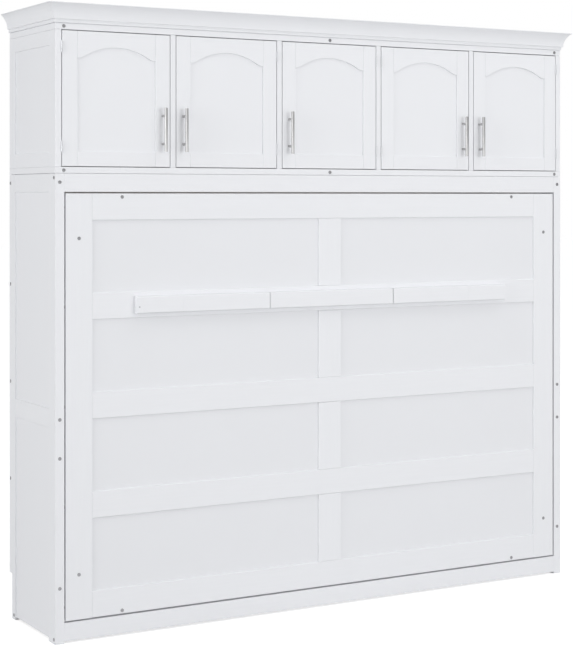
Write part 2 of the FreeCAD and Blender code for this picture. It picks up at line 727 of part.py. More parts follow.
def make_mattress_box():
    """Boards round the mattress, with ledgers and slats on the back of the bed front."""
    layer = ("bed_back", "bed_board_back")
    width = ("-end_board_face", "end_board_face")
    node("bed_long_boards",
         board("bed_low_board", width, layer, ("bed_board_low", "bed_box_low")),
         board("bed_high_board", width, layer, ("bed_box_high", "bed_board_high")))
    node("bed_end_boards", *both_sides(
        board("bed_end_board", ("-end_board_face", "-end_board_inner"), layer,
              ("bed_box_low", "bed_box_high"))))
    inner = ("-end_board_inner", "end_board_inner")
    shelf = ("bed_back", "slat_face")
    middle = "(bed_box_low + bed_box_high) / 2"
    node("bed_ledgers",
         board("low_ledger", inner, shelf, ("bed_box_low", "bed_box_low + ledger_size")),
         board("middle_ledger", inner, shelf, (f"{middle} - ledger_size / 2", f"{middle} + ledger_size / 2")),
         board("high_ledger", inner, shelf, ("bed_box_high - ledger_size", "bed_box_high")))
    slats = []
    for number in range(SLAT_COUNT):
        low = f"slat_first + {number} * slat_pitch"
        slats.append(board(f"slat_{number + 1}", (low, f"{low} + slat_width"),
                           ("slat_face", "slat_face + slat_thickness"),
                           ("bed_box_low + slat_end_gap", "bed_box_high - slat_end_gap")))
    node("bed_slats", *slats)


def make_pivots():
    """Pins on plates screwed to the end boards, turning in bushes set into the front posts."""
    edge = "bed_back + pivot_plate_edge_inset"
    plate = board("pivot_plate", ("-pivot_plate_face", "-end_board_face"),
                  (edge, f"{edge} + pivot_plate_width"),
                  ("pivot_height - pivot_plate_half_height", "pivot_height + pivot_plate_half_height"))
    pin = rod("pivot_pin", "x", ("-opening_half - bush_length", "-pivot_plate_face"), "pivot_pin_radius",
              y="pivot_y", z="pivot_height")
    node("pivot_pins", *both_sides(fused("pivot_plate_with_pin", plate, pin)))
    span = ("-opening_half - bush_length", "-opening_half")
    ring = rod("bush_outside", "x", span, "bush_radius", y="pivot_y", z="pivot_height")
    hole = rod("bush_hole", "x", (f"{span[0]} - cut_overrun", f"{span[1]} + cut_overrun"),
               "pivot_pin_radius + pivot_running_clearance", y="pivot_y", z="pivot_height")
    node("pivot_bushes", *both_sides(cut("pivot_bush", ring, hole)))


def drilled_eye(name, drop):
    """A flat eye across the strut's line, drop below its top eye, and the hole to drill in it."""
    half = "strut_eye_thickness / 2"
    eye = rod(f"{name}_eye", "x", (f"-{half}", half), "strut_eye_radius", z=f"-({drop})")
    hole = rod(f"{name}_eye_hole", "x", (f"-{half} - cut_overrun", f"{half} + cut_overrun"),
               "strut_stud_radius + strut_stud_clearance", z=f"-({drop})")
    return eye, hole


def turned(name, section):
    """A round piece turned about the strut's line from its half section."""
    body = doc.addObject("PartDesign::Body", name)
    profile = new_sketch(body, "XZ_Plane", f"{name}_section")
    outline(profile, section)
    turn = body.newObject("PartDesign::Revolution", f"{name}_turn")
    turn.Profile = profile
    turn.ReferenceAxis = (profile, ["V_Axis"])
    return body


def make_struts():
    """Gas struts: a tube with a gland hangs from the side rail, its rod ends at the bed's stud."""
    tube = turned("strut_tube", [
        ("0", "-strut_neck"),
        ("strut_tube_radius", "-strut_neck"),
        ("strut_tube_radius", "-strut_tube_end"),
        ("strut_rod_radius + strut_rod_clearance", "-strut_tube_end"),
        ("strut_rod_radius + strut_rod_clearance", "-strut_tube_end + strut_gland_length"),
        ("strut_bore_radius", "-strut_tube_end + strut_gland_length"),
        ("strut_bore_radius", "-strut_eye_radius - strut_tube_wall"),
        ("0", "-strut_eye_radius - strut_tube_wall"),
    ])
    eye, hole = drilled_eye("strut_top", "0")
    cylinder = cut("left_strut_cylinder", fused("strut_tube_with_eye", tube, eye), hole)
    shaft = turned("strut_shaft", [
        ("0", "-strut_rod_end"),
        ("strut_bore_radius - strut_piston_clearance", "-strut_rod_end"),
        ("strut_bore_radius - strut_piston_clearance", "-strut_rod_end - strut_piston_length"),
        ("strut_rod_radius", "-strut_rod_end - strut_piston_length"),
        ("strut_rod_radius", "-strut_length + strut_neck"),
        ("0", "-strut_length + strut_neck"),
    ])
    eye, hole = drilled_eye("strut_low", "strut_length")
    shaft_with_eye = cut("left_strut_rod", fused("strut_shaft_with_eye", shaft, eye), hole)
    for part in (cylinder, shaft_with_eye):
        part.Placement = FreeCAD.Placement(FreeCAD.Vector(), FreeCAD.Rotation(FreeCAD.Vector(1, 0, 0), 1))
        part.setExpression("Placement.Rotation.Angle", full("-strut_lean"))
        bind(part, x="-strut_plane", y="strut_top_y", z="side_mid_rail_centre")
        node(part.Name, part)
        right = part.Name.replace("left", "right")
        node(right, mirrored(part, right))


def make_strut_fixings():
    """Plates with studs: on the side rails for the tubes, on the end boards for the rods."""
    half_width, half_height = "strut_plate_width / 2", "strut_plate_height / 2"
    plate = board("strut_top_plate", ("-strut_plate_face - strut_plate_thickness", "-strut_plate_face"),
                  (f"strut_top_y - {half_width}", f"strut_top_y + {half_width}"),
                  (f"side_mid_rail_centre - {half_height}", f"side_mid_rail_centre + {half_height}"))
    stud = rod("strut_top_stud", "x", ("-strut_plate_face", "-strut_eye_inner"), "strut_stud_radius",
               y="strut_top_y", z="side_mid_rail_centre")
    node("strut_brackets", *both_sides(fused("strut_top_bracket", plate, stud)))
    plate = board("strut_low_plate", ("-end_board_face - strut_plate_thickness", "-end_board_face"),
                  (f"strut_stud_y - {half_width}", f"strut_stud_y + {half_width}"),
                  (f"strut_stud_height - {half_height}", f"strut_stud_height + {half_height}"))
    stud = rod("strut_low_stud", "x",
               ("-strut_eye_inner + strut_open_pivot_gap", "-end_board_face - strut_plate_thickness"),
               "strut_stud_radius", y="strut_stud_y", z="strut_stud_height")
    node("strut_studs", *both_sides(fused("strut_low_bracket", plate, stud)))


def make_leg_bar():
    """Blocks fixed on the second rail from the top, and a leg hinged at each end of the middle block."""
    proud = ("front - bar_proud", "front")
    height = ("bar_low", "bar_high")
    centre = board("bar_centre_block", ("-bar_block_half_length", "bar_block_half_length"), proud, height)
    end = board("bar_end_block", ("-bar_half_length", "-leg_tip - leg_tip_gap"), proud, height)
    node("leg_bar_blocks", centre, *both_sides(end))

    leg = board("left_leg", ("-leg_tip", "-bar_block_half_length - bar_gap"),
                ("front - bar_proud", "front - leg_running_gap"), height)
    node("left_leg", leg)
    node("right_leg", mirrored(leg, "right_leg"))
    fixed, moving, pin = make_hinge("leg_hinge", LEG_HINGE, "(-leg_pin_x)", 1,
                                    "(bar_centre - leg_hinge_height / 2)")
    node("leg_hinge_leaves", *both_sides(fixed, pin))
    node("left_leg_hinge", moving)
    node("right_leg_hinge", mirrored(moving, "right_leg_hinge"))


def front_bolt(name, x, z):
    return small_rod(name, "y", ("front - bolt_head_height", "front"), "bolt_head_radius", x=x, z=z)


def side_bolt(name, y, z):
    span = ("-carcass_half - bolt_head_height", "-carcass_half")
    return small_rod(name, "x", span, "bolt_head_radius", y=y, z=z)


def make_bolts():
    """Bright heads of the connector bolts that hold the posts, boards and bed frame together."""
    post_middle = "-opening_half - post_width / 2"
    heights = {
        "top": "lower_height - post_bolt_top_inset",
        "middle": "side_mid_rail_centre",
        "over_pivot": "pivot_height + pivot_bolt_spread",
        "under_pivot": "pivot_height - pivot_bolt_spread",
    }
    pairs = [front_bolt(f"post_bolt_{name}", post_middle, height) for name, height in heights.items()]
    front_layer = "front + rail_thickness / 2"
    back_layer = "back - rail_thickness / 2"
    pairs.append(side_bolt("side_bolt_front_top", front_layer, "lower_height - side_bolt_top_inset"))
    pairs.append(side_bolt("side_bolt_front_foot", front_layer, "side_bolt_foot_height"))
    pairs.append(side_bolt("side_bolt_back_top", back_layer, "lower_height - back_rail_height / 2"))
    foot_layer = "back - post_depth + rail_thickness / 2"
    pairs.append(side_bolt("side_bolt_back_foot", foot_layer, "side_bolt_foot_height"))
    for number in range(MIDDLE_BACK_RAIL_COUNT):
        centre = f"back_rail_lowest_centre + {number} * back_rail_pitch"
        pairs.append(side_bolt(f"side_bolt_back_{number + 1}", back_layer, centre))
    middles = []
    board_middles = {
        "deck": "lower_height + board_thickness / 2",
        "top": "crown_base - board_thickness / 2",
    }
    for name, height in board_middles.items():
        pairs.append(front_bolt(f"{name}_bolt", "-carcass_half + deck_bolt_end_inset", height))
        middles.append(front_bolt(f"{name}_middle_bolt", "0", height))
    node("carcass_bolts", *both_sides(*pairs), *middles)

    bed_pairs = []
    for name, edge, sign in (("low", "bed_low", "+"), ("high", "bed_high", "-")):
        bed_pairs.append(front_bolt(f"bed_{name}_bolt", "-bed_half + bed_bolt_end_inset",
                                    f"{edge} {sign} bed_bolt_edge_inset"))
        bed_pairs.append(front_bolt(f"bed_{name}_stile_bolt", "-bed_half + bed_stile_width / 2",
                                    f"{edge} {sign} bed_stile_bolt_inset"))
    node("bed_bolts", *both_sides(*bed_pairs))


def check_and_write():
    doc.recompute()
    for item in doc.Objects:
        if "Invalid" in item.State or "Error" in item.State:
            raise RuntimeError(f"{item.Name} failed: {item.getStatusString()}")
    os.makedirs("parts", exist_ok=True)
    for part in nodes:
        if part.Shape.isNull() or not part.Shape.isValid():
            raise RuntimeError(f"{part.Label} has no valid shape")
    for part in nodes:
        part.Shape.exportStep(f"parts/{part.Label}.step")
    print(len(nodes), "nodes,", sum(len(part.Shape.Solids) for part in nodes), "solids")


fill_sheets()
make_posts()
make_carcass()
make_back_rails()
make_hutch()
make_crown()
make_doors()
make_bed_front()
make_mattress_box()
make_pivots()
make_struts()
make_strut_fixings()
make_leg_bar()
make_bolts()
check_and_write()
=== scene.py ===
# %% [markdown]
# # Dressing a cabinet bed
# The object is a white wall bed: a shallow cabinet that stands against a wall, a large framed front that
# tilts down sideways as a bed, and a row of five arched cupboards under a cornice.
# Its solids are already drawn to size, with every moving piece on a body of its own.
# Here each piece gets the eased edges, finishes and small hardware that a camera sees.
# The imported model comes in first and is never moved: new pieces are modelled over it and ride on its bodies.

# %% Load the imported model
import json
import math

import bmesh
import bpy
from mathutils import Matrix, Vector


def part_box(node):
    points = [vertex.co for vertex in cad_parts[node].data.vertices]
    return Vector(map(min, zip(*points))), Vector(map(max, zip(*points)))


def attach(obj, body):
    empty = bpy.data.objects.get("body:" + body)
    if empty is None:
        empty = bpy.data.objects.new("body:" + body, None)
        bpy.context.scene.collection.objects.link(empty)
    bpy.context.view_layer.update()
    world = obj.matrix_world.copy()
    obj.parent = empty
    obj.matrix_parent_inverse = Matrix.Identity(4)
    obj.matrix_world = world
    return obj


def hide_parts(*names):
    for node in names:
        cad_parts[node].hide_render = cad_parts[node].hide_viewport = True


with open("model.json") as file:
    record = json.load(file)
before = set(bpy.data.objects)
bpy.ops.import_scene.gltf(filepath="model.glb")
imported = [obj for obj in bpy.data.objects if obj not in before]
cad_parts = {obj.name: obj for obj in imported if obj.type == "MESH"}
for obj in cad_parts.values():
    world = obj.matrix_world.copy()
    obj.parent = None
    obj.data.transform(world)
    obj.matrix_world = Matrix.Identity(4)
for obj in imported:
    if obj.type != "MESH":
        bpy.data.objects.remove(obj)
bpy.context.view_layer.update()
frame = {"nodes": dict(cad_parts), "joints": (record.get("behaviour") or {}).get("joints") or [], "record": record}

BODY_OF = {node: body for body, nodes in frame["record"]["behaviour"]["bodies"].items() for node in nodes}
bpy.ops.object.select_all(action="DESELECT")

# %% [markdown]
# ## The camera
# The photograph looks at the cabinet from its left, about thirty degrees round, from a little above chest
# height. Upright edges stay upright in it, so the camera was level, and the lens was shifted down to frame
# it. A tilted camera would frame the same things, but the posts would lean together, so the shift is used
# here.

# %% Camera
CAMERA_PLACE = (-3.117, -5.325, 1.485)
LOOK_RIGHT, LOOK_IN = 0.497, 0.868
SENSOR_HEIGHT_MM = 36
LENS_MM = 92.38
LENS_SHIFT = -0.196
bpy.ops.object.camera_add(
    location=CAMERA_PLACE,
    rotation=(math.radians(90), 0, -math.atan2(LOOK_RIGHT, LOOK_IN)),
)
camera = bpy.context.object
camera.name = "camera"
camera.data.sensor_fit = "VERTICAL"
camera.data.sensor_height = SENSOR_HEIGHT_MM
camera.data.lens = LENS_MM
camera.data.shift_y = LENS_SHIFT
bpy.context.scene.camera = camera
print("camera at", tuple(camera.location), "lens", camera.data.lens, "mm")

# %% [markdown]
# ## Floor and light
# The cabinet stands in a white studio: bright all round, with a wide lamp and a small one in front of it.
# The small lamp stands a little to the right, and draws the shadows of the pulls on the doors; the wide one
# fills the corners of the panels, and a large one overhead leaves soft shade under the cornice and the bar.
# A box on the left lights the cabinet's side, a shade less than its front.
# A sun lamp would give hard shadows, so area lamps are used, as soft as the boxes of a studio.
# The two in front are kept out of reflections: the pulls are dark where they would mirror them.
# The floor that the camera sees is as white as paper. So much white would glare back from below, so the
# bounced light comes from a grey sheet just under it, and the white one stays out of it.

# %% Floor
FLOOR_SIZE = 80
FLOOR_ROUGHNESS = 0.8
bpy.context.scene.view_settings.view_transform = "Standard"


def floor_sheet(name, depth, tone, glow):
    """A wide sheet a little under the cabinet's feet."""
    bpy.ops.mesh.primitive_plane_add(size=FLOOR_SIZE, location=(0, 0, -depth))
    sheet = bpy.context.object
    sheet.name = name
    finish = bpy.data.materials.new(name)
    finish.use_nodes = True
    shader = finish.node_tree.nodes["Principled BSDF"]
    shader.inputs["Base Color"].default_value = (tone, tone, tone, 1)
    shader.inputs["Roughness"].default_value = FLOOR_ROUGHNESS
    shader.inputs["Emission Color"].default_value = (1, 1, 1, 1)
    shader.inputs["Emission Strength"].default_value = glow
    sheet.data.materials.append(finish)
    return sheet


floor = floor_sheet("studio_floor", depth=0.0003, tone=0.90, glow=0.55)
floor.visible_diffuse = False
bounce = floor_sheet("bounce_floor", depth=0.0010, tone=0.73, glow=0.0)
bounce.visible_camera = False
print("floors:", floor.name, bounce.name)

# %% World
WORLD_TINT = (0.985, 0.992, 1.0, 1)
WORLD_STRENGTH = 0.50
world = bpy.data.worlds.new("white_studio")
bpy.context.scene.world = world
world.use_nodes = True
sky_tree = world.node_tree
sky_light = sky_tree.nodes["Background"]
sky_light.inputs["Color"].default_value = WORLD_TINT
sky_light.inputs["Strength"].default_value = WORLD_STRENGTH
print("world light", WORLD_STRENGTH)

# %% White backing
sky_backing = sky_tree.nodes.new("ShaderNodeBackground")
sky_backing.inputs["Color"].default_value = (1, 1, 1, 1)
sky_backing.inputs["Strength"].default_value = 1.0
sky_ray = sky_tree.nodes.new("ShaderNodeLightPath")
sky_mix = sky_tree.nodes.new("ShaderNodeMixShader")
sky_tree.links.new(sky_ray.outputs["Is Camera Ray"], sky_mix.inputs[0])
sky_tree.links.new(sky_light.outputs["Background"], sky_mix.inputs[1])
sky_tree.links.new(sky_backing.outputs["Background"], sky_mix.inputs[2])
sky_tree.links.new(sky_mix.outputs["Shader"], sky_tree.nodes["World Output"].inputs["Surface"])
print("backing strength", sky_backing.inputs["Strength"].default_value)


# %% Soft boxes
def soft_box(name, place, target, width, height, power, mirrored=True):
    """A rectangular area lamp at a place, aimed at a target, that metal mirrors or not."""
    bpy.ops.object.light_add(type="AREA", location=place)
    lamp = bpy.context.object
    lamp.name = name
    lamp.rotation_euler = (Vector(target) - Vector(place)).to_track_quat("-Z", "Y").to_euler()
    lamp.data.shape = "RECTANGLE"
    lamp.data.size = width
    lamp.data.size_y = height
    lamp.data.energy = power
    lamp.visible_glossy = mirrored


FRONT_AIM = (0.0, -0.2, 1.2)
TOP_AIM = (0.0, -0.4, 1.0)
SIDE_AIM = (-1.06, 0.0, 1.3)
soft_box("front_box", (1.0, -6.6, 2.2), FRONT_AIM, width=1.0, height=1.0, power=61.5, mirrored=False)
soft_box("wide_front_box", (1.6, -7.0, 1.2), FRONT_AIM, width=8.0, height=2.6, power=141, mirrored=False)
soft_box("overhead_box", (1.6, -2.8, 6.4), TOP_AIM, width=4.0, height=3.0, power=84)
soft_box("left_box", (-6.1, -1.3, 2.4), SIDE_AIM, width=3.2, height=3.2, power=148)

# %% [markdown]
# ## White satin paint
# The frames are solid wood under sprayed white paint, a little cool in tone.
# Close up such paint isn't flat: the grain of the board prints through it in faint long streaks, and the
# spray leaves a very fine pebble that breaks up the sheen.
# Stretching one noise along the board gives the streaks, so there is one paint for boards along each axis.
# A number stored on every board shifts the noise, so that no two boards share a streak.


# %% Helpers for finishes
def new_finish(name, metallic=0.0):
    """An empty procedural finish: its node tree and its shader."""
    finish = bpy.data.materials.new(name)
    finish.use_nodes = True
    shader = finish.node_tree.nodes["Principled BSDF"]
    shader.inputs["Metallic"].default_value = metallic
    return finish, finish.node_tree, shader


def noise(tree, scale, stretch=(1, 1, 1), detail=2.0, per_board=False):
    """Noise on the piece's own coordinates, stretched along an axis where that factor is small."""
    coordinates = tree.nodes.new("ShaderNodeTexCoord")
    mapping = tree.nodes.new("ShaderNodeMapping")
    mapping.inputs["Scale"].default_value = stretch
    cloud = tree.nodes.new("ShaderNodeTexNoise")
    cloud.inputs["Scale"].default_value = scale
    cloud.inputs["Detail"].default_value = detail
    tree.links.new(coordinates.outputs["Object"], mapping.inputs["Vector"])
    tree.links.new(mapping.outputs["Vector"], cloud.inputs["Vector"])
    if per_board:
        cloud.noise_dimensions = "4D"
        shift = tree.nodes.new("ShaderNodeAttribute")
        shift.attribute_name = "board_shift"
        tree.links.new(shift.outputs["Fac"], cloud.inputs["W"])
    return cloud.outputs["Fac"]


def between(tree, amount, low, high, start=0.3, end=0.7):
    """Maps a noise from its usual span to a span of values."""
    span = tree.nodes.new("ShaderNodeMapRange")
    for socket, value in (("From Min", start), ("From Max", end), ("To Min", low), ("To Max", high)):
        span.inputs[socket].default_value = value
    tree.links.new(amount, span.inputs["Value"])
    return span.outputs["Result"]


def colour_between(tree, amount, low, high, start=0.3, end=0.7):
    """Maps a noise from its usual span to a span of colours."""
    ramp = tree.nodes.new("ShaderNodeValToRGB")
    ramp.color_ramp.elements[0].position = start
    ramp.color_ramp.elements[1].position = end
    ramp.color_ramp.elements[0].color = (*low, 1)
    ramp.color_ramp.elements[1].color = (*high, 1)
    tree.links.new(amount, ramp.inputs["Fac"])
    return ramp.outputs["Color"]


def bump(tree, height, strength, distance, under=None):
    """Turns a noise into fine relief, over another relief where one is given."""
    relief = tree.nodes.new("ShaderNodeBump")
    relief.inputs["Strength"].default_value = strength
    relief.inputs["Distance"].default_value = distance
    tree.links.new(height, relief.inputs["Height"])
    if under is not None:
        tree.links.new(under, relief.inputs["Normal"])
    return relief.outputs["Normal"]


# %% White paint along each axis
PAINT_STREAK_SHARE = 0.05


def white_paint(axis):
    """Sprayed satin white over boards whose grain runs along x, y or z."""
    finish, tree, shader = new_finish(f"white_paint_{axis}")
    stretch = tuple(PAINT_STREAK_SHARE if letter == axis else 1.0 for letter in "xyz")
    streaks = noise(tree, scale=160, stretch=stretch, detail=3, per_board=True)
    pebble = noise(tree, scale=900, detail=1)
    clouds = noise(tree, scale=2.2, detail=2)
    tone = colour_between(tree, streaks, low=(0.786, 0.793, 0.817), high=(0.798, 0.805, 0.829))
    tree.links.new(tone, shader.inputs["Base Color"])
    tree.links.new(between(tree, clouds, low=0.46, high=0.56), shader.inputs["Roughness"])
    grain = bump(tree, streaks, strength=0.10, distance=0.0004)
    relief = bump(tree, pebble, strength=0.06, distance=0.0003, under=grain)
    tree.links.new(relief, shader.inputs["Normal"])
    return finish


PAINT = {axis: white_paint(axis) for axis in "xyz"}
print("paints:", [finish.name for finish in PAINT.values()])

# %% Panel paint
PANEL_TONES = (0.780, 0.787, 0.811), (0.792, 0.799, 0.823)


def panel_paint(name, shade):
    """The white on smooth board, a touch darker than the frames' paint and darker again by the shade factor: no
    grain, a finer pebble and slow clouds in its sheen.
    """
    finish, tree, shader = new_finish(name)
    pebble = noise(tree, scale=700, detail=2)
    clouds = noise(tree, scale=1.6, detail=3)
    low = tuple(shade * value for value in PANEL_TONES[0])
    high = tuple(shade * value for value in PANEL_TONES[1])
    tree.links.new(colour_between(tree, clouds, low, high), shader.inputs["Base Color"])
    tree.links.new(between(tree, clouds, low=0.50, high=0.60), shader.inputs["Roughness"])
    tree.links.new(bump(tree, pebble, strength=0.08, distance=0.0003), shader.inputs["Normal"])
    return finish


# The panels are painted a touch darker than the frames, and the bed's panels darker still.
PANEL_PAINT = panel_paint("white_panel_paint", shade=1.0)
BED_PANEL_PAINT = panel_paint("white_bed_panel_paint", shade=0.975)
print("panel paints:", PANEL_PAINT.name, BED_PANEL_PAINT.name)

# %% [markdown]
# ## Metals, pine and the rest
# The pulls are brushed nickel, with hairlines along the bar; bolts and hinges are plated steel.
# Inside there are bare pine slats, zinc plates, a black tube with a polished rod on each side, and nylon
# bushes.
# All are made from the same stretched noise: hairlines are the streaks of the paint at a finer scale.

# %% Metal finishes
HAIRLINE_TONE_SHARE = 0.90
POLISHED_BY, DULLED_BY = 0.05, 0.07
UPRIGHT_HAIRLINES = (1, 1, 0.02)


def metal(name, tone, rough, hairline=(1, 1, 1), scale=900):
    """Plated metal with hairlines, stretched along the axis whose factor is small."""
    finish, tree, shader = new_finish(name, metallic=1.0)
    lines = noise(tree, scale, hairline, detail=2)
    smears = noise(tree, scale=45, detail=2)
    dark = tuple(HAIRLINE_TONE_SHARE * value for value in tone)
    tree.links.new(colour_between(tree, lines, dark, tone), shader.inputs["Base Color"])
    smeared = between(tree, smears, low=rough - POLISHED_BY, high=rough + DULLED_BY)
    tree.links.new(smeared, shader.inputs["Roughness"])
    tree.links.new(bump(tree, lines, strength=0.08, distance=0.0001), shader.inputs["Normal"])
    return finish


NICKEL = metal("brushed_nickel", (0.575, 0.574, 0.572), rough=0.46, hairline=UPRIGHT_HAIRLINES, scale=1400)
HINGE_STEEL = metal("hinge_steel", (0.78, 0.79, 0.81), rough=0.42)
BOLT_ZINC = metal("bolt_zinc", (0.38, 0.38, 0.39), rough=0.48)
PLATE_ZINC = metal("plate_zinc", (0.52, 0.53, 0.55), rough=0.38, scale=300)
CHROME = metal("polished_rod", (0.68, 0.68, 0.69), rough=0.10, scale=500)
print("metals:", [finish.name for finish in (NICKEL, HINGE_STEEL, BOLT_ZINC, PLATE_ZINC, CHROME)])

# %% Pine, tube and bushes
PINE_STREAK_SHARE = 0.035
PEBBLE_TONE_SHARE = 1.06
SMOOTHED_BY, ROUGHENED_BY = 0.04, 0.06


def pine(axis):
    """Planed pine: wide bands of early and late wood, with fine pores along the board."""
    finish, tree, shader = new_finish(f"pine_{axis}")
    along = tuple(PINE_STREAK_SHARE if letter == axis else 1.0 for letter in "xyz")
    bands = noise(tree, scale=42, stretch=along, detail=2, per_board=True)
    pores = noise(tree, scale=420, stretch=along, detail=3, per_board=True)
    late_wood, early_wood = (0.60, 0.40, 0.20), (0.76, 0.57, 0.34)
    tone = colour_between(tree, bands, late_wood, early_wood, start=0.38, end=0.60)
    tree.links.new(tone, shader.inputs["Base Color"])
    tree.links.new(between(tree, pores, low=0.50, high=0.66), shader.inputs["Roughness"])
    tree.links.new(bump(tree, pores, strength=0.20, distance=0.0003), shader.inputs["Normal"])
    return finish


def moulded(name, tone, rough, scale, strength):
    """A moulded or baked coat with a fine pebble."""
    finish, tree, shader = new_finish(name)
    pebble = noise(tree, scale, detail=2)
    light = tuple(PEBBLE_TONE_SHARE * value for value in tone)
    tree.links.new(colour_between(tree, pebble, tone, light), shader.inputs["Base Color"])
    worn = between(tree, pebble, low=rough - SMOOTHED_BY, high=rough + ROUGHENED_BY)
    tree.links.new(worn, shader.inputs["Roughness"])
    tree.links.new(bump(tree, pebble, strength, distance=0.0003), shader.inputs["Normal"])
    return finish


PINE = {axis: pine(axis) for axis in "xz"}
TUBE_BLACK = moulded("tube_black", (0.020, 0.020, 0.022), rough=0.32, scale=800, strength=0.06)
NYLON = moulded("bush_nylon", (0.72, 0.71, 0.66), rough=0.45, scale=500, strength=0.05)
print("others:", [finish.name for finish in (*PINE.values(), TUBE_BLACK, NYLON)])

# %% [markdown]
# ## Boards with eased edges
# Every board of the real cabinet has its sharp edges taken off with a fine plane before it is painted.
# Those small rounds catch the light as a thin bright line, and where two boards meet they leave a fine
# groove. The boards could be drawn again as cubes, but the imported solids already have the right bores,
# notches and mitres. So a board is a copy of its solid: its loose triangles are merged, flat faces are
# cleaned, each loose part is split off as one board, its edges are bevelled, and the boards of one node are
# joined again.
# Weighted normals keep the wide faces flat in shading while the rounds stay soft.

# %% Helpers for modelling
CLOSE = 1e-4
MERGE_DISTANCE = 1e-5
FLAT_ANGLE = math.radians(0.5)
SHARP_ANGLE = math.radians(32)
FACING_SHARE = 0.9


def only(*pieces):
    """Selects these pieces and nothing else; the first one is active."""
    bpy.ops.object.select_all(action="DESELECT")
    for piece in pieces:
        piece.select_set(True)
    bpy.context.view_layer.objects.active = pieces[0]


def joined(pieces, name):
    """Joins pieces into one and names it."""
    only(*pieces)
    if len(pieces) > 1:
        bpy.ops.object.join()
    pieces[0].name = name
    pieces[0].data.name = name
    return pieces[0]


def apply_modifier(piece, kind, **settings):
    """Adds a modifier with these settings and applies it."""
    only(piece)
    step = piece.modifiers.new(kind.lower(), kind)
    for key, value in settings.items():
        setattr(step, key, value)
    bpy.ops.object.modifier_apply(modifier=step.name)


def eased(piece, width, segments=3):
    """Rounds every sharp edge and sets normals that keep wide faces flat."""
    apply_modifier(piece, "BEVEL", width=width, segments=segments, limit_method="ANGLE",
                   angle_limit=SHARP_ANGLE, use_clamp_overlap=True, profile=0.5)
    only(piece)
    bpy.ops.object.shade_smooth()
    apply_modifier(piece, "WEIGHTED_NORMAL", weight=100, keep_sharp=False)
    return piece


def merged_copy(node):
    """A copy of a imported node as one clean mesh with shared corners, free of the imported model."""
    piece = frame["nodes"][node].copy()
    piece.data = piece.data.copy()
    for key in list(piece.keys()):
        del piece[key]
    piece.parent = None
    piece.matrix_world = Matrix.Identity(4)
    bpy.context.scene.collection.objects.link(piece)
    only(piece)
    bpy.ops.mesh.customdata_custom_splitnormals_clear()
    bpy.ops.object.mode_set(mode="EDIT")
    bpy.ops.mesh.select_all(action="SELECT")
    bpy.ops.mesh.remove_doubles(threshold=MERGE_DISTANCE)
    bpy.ops.mesh.dissolve_limited(angle_limit=FLAT_ANGLE)
    bpy.ops.object.mode_set(mode="OBJECT")
    return piece


def loose_parts(piece):
    """Splits a piece into its separate boards or fittings."""
    only(piece)
    bpy.ops.object.mode_set(mode="EDIT")
    bpy.ops.mesh.select_all(action="SELECT")
    bpy.ops.mesh.separate(type="LOOSE")
    bpy.ops.object.mode_set(mode="OBJECT")
    return list(bpy.context.selected_objects)


def extents(piece):
    """The lowest and highest corner of a piece's mesh."""
    corners = [vertex.co for vertex in piece.data.vertices]
    low = Vector([min(corner[i] for corner in corners) for i in range(3)])
    high = Vector([max(corner[i] for corner in corners) for i in range(3)])
    return low, high


def block(low, high):
    """A cube added at its size and place, with the place kept in its mesh."""
    bpy.ops.object.select_all(action="DESELECT")
    low, high = Vector(low), Vector(high)
    bpy.ops.mesh.primitive_cube_add(size=1, location=(low + high) / 2)
    piece = bpy.context.object
    piece.scale = high - low
    bpy.ops.object.transform_apply(location=True, rotation=True, scale=True)
    return piece


def select_faces(piece, direction):
    """In edit mode, selects the faces that face along a direction."""
    bpy.ops.mesh.select_mode(type="FACE")
    bpy.ops.mesh.select_all(action="DESELECT")
    mesh = bmesh.from_edit_mesh(piece.data)
    for face in mesh.faces:
        face.select_set(face.normal.dot(direction) > FACING_SHARE)
    bmesh.update_edit_mesh(piece.data)


def set_finish(piece, finish, shift=0.0):
    """Gives a piece one finish, and the number that shifts its grain."""
    piece.data.materials.clear()
    piece.data.materials.append(finish)
    attributes = piece.data.attributes
    numbers = attributes.get("board_shift") or attributes.new("board_shift", "FLOAT", "FACE")
    for entry in numbers.data:
        entry.value = shift


def stand_in(piece, node):
    """Puts a finished piece in a node's place: on the same body, and the node is hidden."""
    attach(piece, BODY_OF[node])
    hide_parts(node)
    return piece


# %% Eased boards
SHIFT_PER_BOARD, SHIFT_PER_METRE_OUT, SHIFT_PER_METRE_UP = 1.7, 10, 7


def eased_boards(node, finishes, width, shapings=()):
    """Copies a node's boards; each gets grain along its longest side, its shapings and eased edges."""
    boards = loose_parts(merged_copy(node))
    for number, board in enumerate(boards):
        low, high = extents(board)
        sides = high - low
        longest = "xyz"[max(range(3), key=lambda i: sides[i])]
        shift = SHIFT_PER_BOARD * number + SHIFT_PER_METRE_OUT * abs(low.x) + SHIFT_PER_METRE_UP * low.z
        set_finish(board, finishes[longest], shift)
        for shaping in shapings:
            shaping(board)
        eased(board, width)
    return stand_in(joined(boards, f"{node}_eased"), node)


CARCASS_EDGES = {
    "front_posts": 0.0008, "front_rails": 0.0008, "rear_posts": 0.0012, "side_rails": 0.0025,
    "back_rails": 0.0012, "hutch_top_board": 0.0025, "hutch_side_frames": 0.0020, "hutch_partitions": 0.0010,
}
for node, width in CARCASS_EDGES.items():
    piece = eased_boards(node, PAINT, width)
    print(piece.name, len(piece.data.polygons), "faces")

# %% [markdown]
# ## Cornice
# The cornice is a cove moulding in three lengths, mitred at the front corners like a picture frame.
# Its solids carry the profile already: a band, a step, the cove and a lip. Close up the lip is thinner and
# the step deeper than they are drawn there, so the corners of a copy are slid along the profile, which keeps
# the mitres shut. A new profile could be swept round instead, but then the mitres would have to be cut again.
# The same easing follows, only finer, to keep the small lip crisp; the grain runs along each length.

